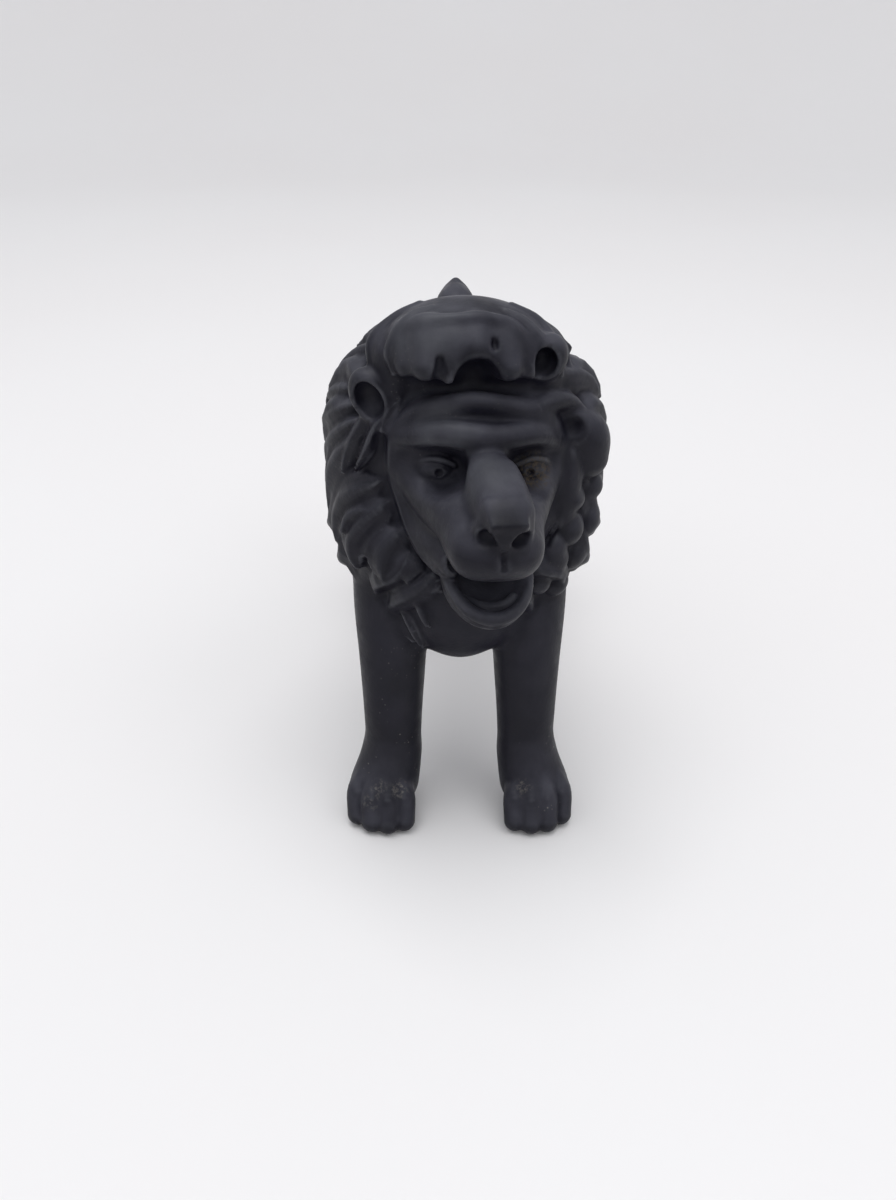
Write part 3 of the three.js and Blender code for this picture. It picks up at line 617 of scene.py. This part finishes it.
def sculpt():
    """All of the lion's clay."""
    clay = Clay()
    torso(clay)
    for side in SIDES:
        foreleg(clay, side)
    for side in SIDES:
        hindleg(clay, side)
    tail(clay)
    base = Clay()
    mane_base(base)
    mane_base(clay)
    mane_locks(clay, base)
    jowl_hair(clay)
    forelock(clay)
    face(clay)
    ear(clay, (-21.4, 12.8, 124.4), (5.2, 4.2, 6.9), -0.35, -0.35, 0.2)
    ear(clay, (20, 14.2, 133.2), (4.8, 4.6, 5.7), 0.25, 0.1, -1.1)
    return clay


def mesh_points(mesh):
    """The mesh's vertices in millimetres, in the sculptor's frame."""
    co = np.empty(len(mesh.vertices) * 3, np.float32)
    mesh.vertices.foreach_get("co", co)
    return co.reshape(-1, 3).astype(float) * 1000 + FOOTPRINT_CENTRE


def set_points(mesh, points):
    """Sets the mesh's vertices from millimetres, and keeps the soles flat on the ground."""
    points[:, 2] = np.maximum(points[:, 2], 0)
    mesh.vertices.foreach_set("co", ((points - FOOTPRINT_CENTRE) / 1000).astype(np.float32).ravel())
    mesh.update()


def press_mesh(mesh, clay, reach):
    """Pushes the mesh along its normals towards the clay, so that it also enters the hollows."""
    points = mesh_points(mesh)
    normals = np.empty(len(mesh.vertices) * 3, np.float32)
    mesh.vertex_normals.foreach_get("vector", normals)
    far = np.clip(0.8 * clay.distance(points), -reach, reach)
    set_points(mesh, points - normals.reshape(-1, 3) * far[:, None])


def settle_mesh(mesh, clay, step):
    """Moves the mesh's vertices straight onto the clay."""
    points = mesh_points(mesh)
    normals = unit(clay.gradient(points, step))
    for _ in range(2):
        points -= normals * np.clip(clay.distance(points), -1, 1)[:, None]
    set_points(mesh, points)


def mark_relief(mesh, clay):
    """Stores how raised or sunken and how far facing up each vertex lies, which the paint reads for its painted
    highlights, painted shade and lighter tops.
    """
    points = mesh_points(mesh)
    relief = {
        "edges": 0.5 + 2.2 * clay.fullness(points, 0.7),
        "hollows": 0.5 + 1.6 * clay.fullness(points, 3.0),
        "upward": unit(clay.gradient(points, 0.8))[:, 2],
    }
    for name, values in relief.items():
        values = np.clip(values, 0, 1).astype(np.float32)
        mesh.attributes.new(name, "FLOAT", "POINT").data.foreach_set("value", values)


def apply_modifier(piece, kind, **values):
    """Adds a modifier, sets its values and applies it."""
    modifier = piece.modifiers.new(kind.title(), kind)
    for key, value in values.items():
        setattr(modifier, key, value)
    bpy.context.view_layer.objects.active = piece
    bpy.ops.object.modifier_apply(modifier=modifier.name)


class LionForm(bpy.types.PropertyGroup):
    """Sizes of the lion's surface mesh."""

    grain: bpy.props.FloatProperty(
        name="Mesh grain",
        description="Size of the mesh's faces before it is thinned",
        default=0.00045,
        unit="LENGTH",
    )
    faces: bpy.props.IntProperty(
        name="Triangles",
        description="How many triangles the finished casting has",
        default=190000,
    )


def colour_property(name, description, default):
    return bpy.props.FloatVectorProperty(
        name=name, description=description, default=default, size=3, subtype="COLOR"
    )


class LionPaint(bpy.types.PropertyGroup):
    """Colours of the paint and of what lies on it."""

    black: colour_property("Black paint", "Colour of the paint", (0.0064, 0.0062, 0.0108))
    # Lightens the paint on surfaces facing up: partly real dust, partly painted light from above.
    dust_and_top_light: colour_property("Dust film", "Colour of the paint under the film of dust", (0.07, 0.07, 0.088))
    # Rubbed paint on raised edges, also used as painted highlight on those edges and on the brow, forelock and bridge.
    wear_and_highlight: colour_property("Rubbed paint", "Colour of the paint on raised edges", (0.07, 0.072, 0.084))
    dust: colour_property("Dust", "Colour of the pale specks", (0.32, 0.3, 0.26))
    dirt: colour_property("Dirt", "Colour of the brown dirt in the eye", (0.06, 0.047, 0.034))


class Nodes:
    """Short calls for the nodes that the finishes are built from."""

    def __init__(self, material):
        material.use_nodes = True
        self.tree = material.node_tree
        self.shader = self.tree.nodes["Principled BSDF"]
        self.place = self.tree.nodes.new("ShaderNodeTexCoord").outputs["Object"]

    def set(self, socket, value):
        """Links a socket's source, or sets its value."""
        if isinstance(value, bpy.types.NodeSocket):
            self.tree.links.new(value, socket)
        elif hasattr(value, "__len__") and len(socket.default_value) == 4:
            socket.default_value = (*value, 1)
        else:
            socket.default_value = value

    def noise(self, scale, detail, roughness=0.5):
        node = self.tree.nodes.new("ShaderNodeTexNoise")
        self.set(node.inputs["Vector"], self.place)
        self.set(node.inputs["Scale"], scale)
        self.set(node.inputs["Detail"], detail)
        self.set(node.inputs["Roughness"], roughness)
        return node.outputs["Fac"]

    def specks(self, scale):
        """Distance from the nearest of many scattered points."""
        node = self.tree.nodes.new("ShaderNodeTexVoronoi")
        self.set(node.inputs["Vector"], self.place)
        self.set(node.inputs["Scale"], scale)
        return node.outputs["Distance"]

    def height(self):
        node = self.tree.nodes.new("ShaderNodeSeparateXYZ")
        self.set(node.inputs["Vector"], self.place)
        return node.outputs["Z"]

    def attribute(self, name):
        node = self.tree.nodes.new("ShaderNodeAttribute")
        node.attribute_name = name
        return node.outputs["Fac"]

    def ramp(self, value, low, high, to_low=0.0, to_high=1.0):
        node = self.tree.nodes.new("ShaderNodeMapRange")
        self.set(node.inputs["Value"], value)
        for key, number in (("From Min", low), ("From Max", high), ("To Min", to_low), ("To Max", to_high)):
            self.set(node.inputs[key], number)
        return node.outputs["Result"]

    def math(self, operation, a, b):
        node = self.tree.nodes.new("ShaderNodeMath")
        node.operation = operation
        self.set(node.inputs[0], a)
        self.set(node.inputs[1], b)
        return node.outputs["Value"]

    def mix(self, share, a, b):
        node = self.tree.nodes.new("ShaderNodeMix")
        node.data_type = "RGBA"
        self.set(node.inputs["Factor"], share)
        self.set(node.inputs["A"], a)
        self.set(node.inputs["B"], b)
        return node.outputs["Result"]

    def mix_number(self, share, a, b):
        node = self.tree.nodes.new("ShaderNodeMix")
        self.set(node.inputs["Factor"], share)
        self.set(node.inputs["A"], a)
        self.set(node.inputs["B"], b)
        return node.outputs["Result"]

    def near(self, centre, reach):
        """One at a point of the piece, falling to nothing at the reach."""
        node = self.tree.nodes.new("ShaderNodeVectorMath")
        node.operation = "DISTANCE"
        self.set(node.inputs[0], self.place)
        node.inputs[1].default_value = centre
        return self.ramp(node.outputs["Value"], 0.45 * reach, reach, 1, 0)

    def bump(self, height, distance, strength, under=None):
        node = self.tree.nodes.new("ShaderNodeBump")
        self.set(node.inputs["Height"], height)
        self.set(node.inputs["Distance"], distance)
        self.set(node.inputs["Strength"], strength)
        if under is not None:
            self.set(node.inputs["Normal"], under)
        return node.outputs["Normal"]


def in_metres(point):
    """A point of the sculptor's frame, in the part's own frame and in metres."""
    return Vector((np.array(point) - FOOTPRINT_CENTRE) / 1000)


def paint_material(paint):
    """Satin black paint on cast iron, a little rubbed on its edges, with dust and some brown dirt, and with painted
    light: lighter tops, painted highlights on raised edges and on the brow, forelock and bridge, and painted shade in
    hollows and round the nose.
    """
    material = bpy.data.materials.new("black_paint")
    make = Nodes(material)
    cloudy = make.ramp(make.noise(55, 3), 0.3, 0.7)
    colour = make.mix(cloudy, paint.black, [c * 1.5 for c in paint.black])
    # Lighter paint on surfaces facing up: partly a film of dust, partly painted light from above.
    dust_and_top_light = make.math("MULTIPLY", make.ramp(make.attribute("upward"), 0.05, 0.8), make.ramp(make.noise(110, 4), 0.25, 0.7, 0.25, 1))
    colour = make.mix(make.math("MULTIPLY", dust_and_top_light, 0.8), colour, paint.dust_and_top_light)
    # Lighter raised edges: partly rubbed paint, partly painted highlight.
    rubbed_and_highlit = make.math("MULTIPLY", make.ramp(make.attribute("edges"), 0.58, 0.9), make.noise(160, 3))
    colour = make.mix(rubbed_and_highlit, colour, paint.wear_and_highlight)
    # Painted highlights on the left of the brow, the forelock and the bridge of the nose.
    for place, size in (((-11, 20, 9), 0.009), ((-16, 13, 32), 0.012), ((-2, 30, 2), 0.009)):
        highlight_patch = make.math("MULTIPLY", make.near(in_metres(head_point(*place)), size), make.noise(140, 3))
        colour = make.mix(highlight_patch, colour, paint.wear_and_highlight)
    # Painted shade: the paint in hollows is darkened back towards the black, and its specular is lowered further down.
    hollow = make.ramp(make.attribute("hollows"), 0.5, 0.25)
    colour = make.mix(make.math("MULTIPLY", hollow, 0.5), colour, paint.black)
    patchy = make.ramp(make.noise(70, 2), 0.56, 0.66)
    low = make.ramp(make.height(), 0.02, 0.06, 1, 0.12)
    speck = make.math("MULTIPLY", make.ramp(make.specks(700), 0.1, 0.2, 1, 0), make.math("MULTIPLY", patchy, low))
    colour = make.mix(make.math("MULTIPLY", speck, 0.45), colour, paint.dust)
    for knuckle in ((-22.3, 8, 11.6), (-17, 7.6, 11.6), (-24.6, 6, 8), (18, 8, 11.6)):
        dusty = make.math("MULTIPLY", make.near(in_metres(knuckle), 0.0034), make.ramp(make.noise(900, 2, 0.7), 0.48, 0.7))
        colour = make.mix(make.math("MULTIPLY", dusty, 0.28), colour, paint.dust)
    # Painted shade: the paint round the nose is kept black, without dust, highlights or lighter tops.
    nose = make.near(in_metres(head_point(0.3, 44, -6.4)), 0.0085)
    colour = make.mix(nose, colour, paint.black)
    eye = in_metres(head_point(11.6, 15, -3))
    dirty = make.math("MULTIPLY", make.near(eye, 0.0062), make.ramp(make.noise(1300, 3, 0.7), 0.45, 0.6))
    colour = make.mix(dirty, colour, paint.dirt)
    make.set(make.shader.inputs["Base Color"], colour)
    gloss = make.ramp(make.noise(240, 4), 0.3, 0.7, 0.38, 0.55)
    make.set(make.shader.inputs["Roughness"], make.mix_number(dirty, gloss, 0.85))
    make.set(make.shader.inputs["Specular IOR Level"], make.mix_number(hollow, 0.19, 0.12))
    skin = make.bump(make.noise(420, 3, 0.6), 0.0003, 0.35)
    skin = make.bump(make.noise(1500, 3, 0.6), 0.00012, 0.3, skin)
    make.set(make.shader.inputs["Normal"], skin)
    return material


def floor_material():
    """Plain white paper."""
    material = bpy.data.materials.new("floor_paper")
    make = Nodes(material)
    pale = make.mix(make.ramp(make.noise(3, 2), 0.3, 0.7), (0.87, 0.85, 0.85), (0.88, 0.868, 0.87))
    make.set(make.shader.inputs["Base Color"], pale)
    make.set(make.shader.inputs["Roughness"], 0.85)
    return material


class LION_OT_casting(bpy.types.Operator):
    """Models the painted casting over its solid"""

    bl_idname = "lion.casting"
    bl_label = "Lion casting"

    def execute(self, context):
        form = context.scene.lion_form
        piece = bpy.data.objects.new("lion_casting", bpy.data.meshes.new("lion_casting"))
        context.scene.collection.objects.link(piece)
        body = bmesh.new()
        body.from_mesh(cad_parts["lion"].data)
        bmesh.ops.remove_doubles(body, verts=body.verts, dist=1e-6)
        body.to_mesh(piece.data)
        body.free()
        clay = sculpt()
        for grain, turns in ((0.0016, 5), (0.0012, 4), (0.0009, 3)):
            for _ in range(turns):
                apply_modifier(piece, "REMESH", mode="VOXEL", voxel_size=grain)
                press_mesh(piece.data, clay, 1000 * grain)
        settle_mesh(piece.data, clay, 0.5)
        apply_modifier(piece, "REMESH", mode="VOXEL", voxel_size=form.grain)
        settle_mesh(piece.data, clay, 0.3)
        triangles = sum(len(p.vertices) - 2 for p in piece.data.polygons)
        apply_modifier(piece, "DECIMATE", ratio=min(1, form.faces / triangles))
        mark_relief(piece.data, clay)
        piece.data.materials.clear()
        piece.data.materials.append(paint_material(context.scene.lion_paint))
        piece.data.polygons.foreach_set("use_smooth", [True] * len(piece.data.polygons))
        piece.data.update()
        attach(piece, "root")
        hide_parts("lion")
        return {"FINISHED"}


class LION_OT_stage(bpy.types.Operator):
    """Sets up the pale floor, the soft light and the camera"""

    bl_idname = "lion.stage"
    bl_label = "Stage"

    def execute(self, context):
        scene = context.scene
        ground = bpy.data.objects.new("floor", bpy.data.meshes.new("floor"))
        scene.collection.objects.link(ground)
        sweep = bmesh.new()
        flat, bend = 1.1, 0.7
        rim = [sweep.verts.new((x, 0, 0)) for x in (0, flat)]
        for i in range(1, 13):
            a = math.pi / 2 * i / 12
            rim.append(sweep.verts.new((flat + bend * math.sin(a), 0, bend * (1 - math.cos(a)))))
        rim.append(sweep.verts.new((flat + bend, 0, 0.8)))
        edges = [sweep.edges.new(pair) for pair in zip(rim, rim[1:])]
        bmesh.ops.spin(
            sweep, geom=rim + edges, cent=(0, 0, 0), axis=(0, 0, 1), dvec=(0, 0, 0),
            angle=2 * math.pi, steps=72, use_merge=True,
        )
        bmesh.ops.remove_doubles(sweep, verts=sweep.verts, dist=1e-5)
        bmesh.ops.recalc_face_normals(sweep, faces=sweep.faces)
        if sum(f.normal.z for f in sweep.faces) < 0:
            bmesh.ops.reverse_faces(sweep, faces=sweep.faces)
        sweep.to_mesh(ground.data)
        sweep.free()
        ground.data.polygons.foreach_set("use_smooth", [True] * len(ground.data.polygons))
        ground.data.materials.append(floor_material())

        scene.view_settings.view_transform = "Standard"
        world = bpy.data.worlds.new("studio")
        world.use_nodes = True
        background = world.node_tree.nodes["Background"]
        background.inputs["Color"].default_value = (0.95, 0.97, 1, 1)
        background.inputs["Strength"].default_value = 0.68
        scene.world = world
        for name, place, size, power in (
            ("overhead", (-0.06, -0.1, 1.3), 0.9, 7.5),
            ("front_right", (0.7, -0.5, 1.1), 0.5, 1),
        ):
            light = bpy.data.lights.new(name, "AREA")
            light.size = size
            light.energy = power
            lamp = bpy.data.objects.new(name, light)
            lamp.location = place
            aim = Vector((0, -0.02, 0.07)) - Vector(place)
            lamp.rotation_euler = aim.to_track_quat("-Z", "Y").to_euler()
            scene.collection.objects.link(lamp)

        camera = bpy.data.cameras.new("camera")
        camera.sensor_width = 36
        camera.lens = 1143 / 1200 * 36
        view = bpy.data.objects.new("camera", camera)
        view.location = in_metres((-3.2, -246.5, 212.8))
        view.rotation_euler = (math.radians(61), 0, 0)
        scene.collection.objects.link(view)
        scene.camera = view
        return {"FINISHED"}


class LION_PT_panel(bpy.types.Panel):
    """Shows the lion's mesh and paint settings and the buttons that build the casting and the stage"""

    bl_idname = "LION_PT_panel"
    bl_label = "Cast iron lion"
    bl_space_type = "VIEW_3D"
    bl_region_type = "UI"
    bl_category = "Lion"

    def draw(self, context):
        for group in (context.scene.lion_form, context.scene.lion_paint):
            for name in group.__annotations__:
                self.layout.prop(group, name)
        self.layout.operator("lion.casting")
        self.layout.operator("lion.stage")


CLASSES = (LionForm, LionPaint, LION_OT_casting, LION_OT_stage, LION_PT_panel)


def register():
    for item in CLASSES:
        bpy.utils.register_class(item)
    bpy.types.Scene.lion_form = bpy.props.PointerProperty(type=LionForm)
    bpy.types.Scene.lion_paint = bpy.props.PointerProperty(type=LionPaint)


def unregister():
    del bpy.types.Scene.lion_form
    del bpy.types.Scene.lion_paint
    for item in reversed(CLASSES):
        bpy.utils.unregister_class(item)


def main():
    register()
    bpy.ops.lion.casting()
    bpy.ops.lion.stage()


if __name__ == "__main__":
    main()
